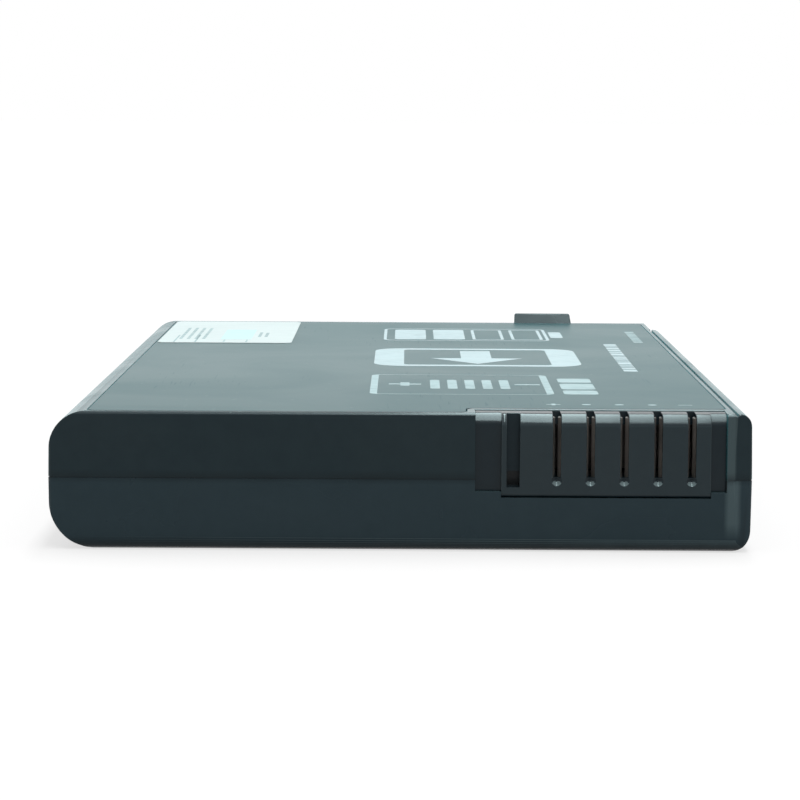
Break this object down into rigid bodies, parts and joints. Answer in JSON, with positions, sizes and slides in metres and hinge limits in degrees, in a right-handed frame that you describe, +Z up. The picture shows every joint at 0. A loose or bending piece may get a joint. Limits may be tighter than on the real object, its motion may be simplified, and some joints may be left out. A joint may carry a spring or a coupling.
{
  "type": "ventilator battery",
  "caption": "Flat rectangular rechargeable battery pack with rounded edges, a slotted contact bay at one front corner, a side rail and a rear lug, for a portable ventilator.",
  "frame": {"origin": "middle of the underside of the case", "axes": "+X to the right seen from the contact end, +Y away from the contact end, +Z up through the printed face"},
  "size_m": [0.1074, 0.167, 0.0233],
  "materials": {
    "case_plastic": "fine spark-eroded texture, matte black",
    "connector_plastic": "smooth semi-gloss black",
    "contact_metal": "bright copper alloy",
    "face_film": "matte black printed film",
    "label_paper": "satin white adhesive label",
    "cell_sleeve": "shrink sleeve",
    "link_nickel": "nickel strip",
    "board_laminate": "solder resist",
    "board_part": "moulded epoxy",
    "lead_sleeve": "silicone sleeve",
    "insulating_sheet": "pressed fibre sheet"
  },
  "bodies": {
    "root": {"lower_case": "case_plastic", "upper_case": "case_plastic", "connector_housing": "connector_plastic", "contact_positive": "contact_metal", "contact_clock": "contact_metal", "contact_data": "contact_metal", "contact_sense": "contact_metal", "contact_negative": "contact_metal", "face_film": "face_film", "rear_label": "label_paper", "cell_1": "cell_sleeve", "cell_2": "cell_sleeve", "cell_3": "cell_sleeve", "cell_4": "cell_sleeve", "cell_5": "cell_sleeve", "cell_6": "cell_sleeve", "cell_7": "cell_sleeve", "cell_8": "cell_sleeve", "strip_negative": "link_nickel", "strip_tap_low": "link_nickel", "strip_tap_mid": "link_nickel", "strip_tap_high": "link_nickel", "strip_positive": "link_nickel", "circuit_board": "board_laminate", "gauge_chip": "board_part", "charge_switch": "board_part", "discharge_switch": "board_part", "safety_fuse": "board_part", "shunt_resistor": "board_part", "lead_negative": "lead_sleeve", "lead_tap_mid": "lead_sleeve", "lead_positive": "lead_sleeve", "thermistor": "lead_sleeve", "cell_insulator": "insulating_sheet"}
  },
  "joints": []
}
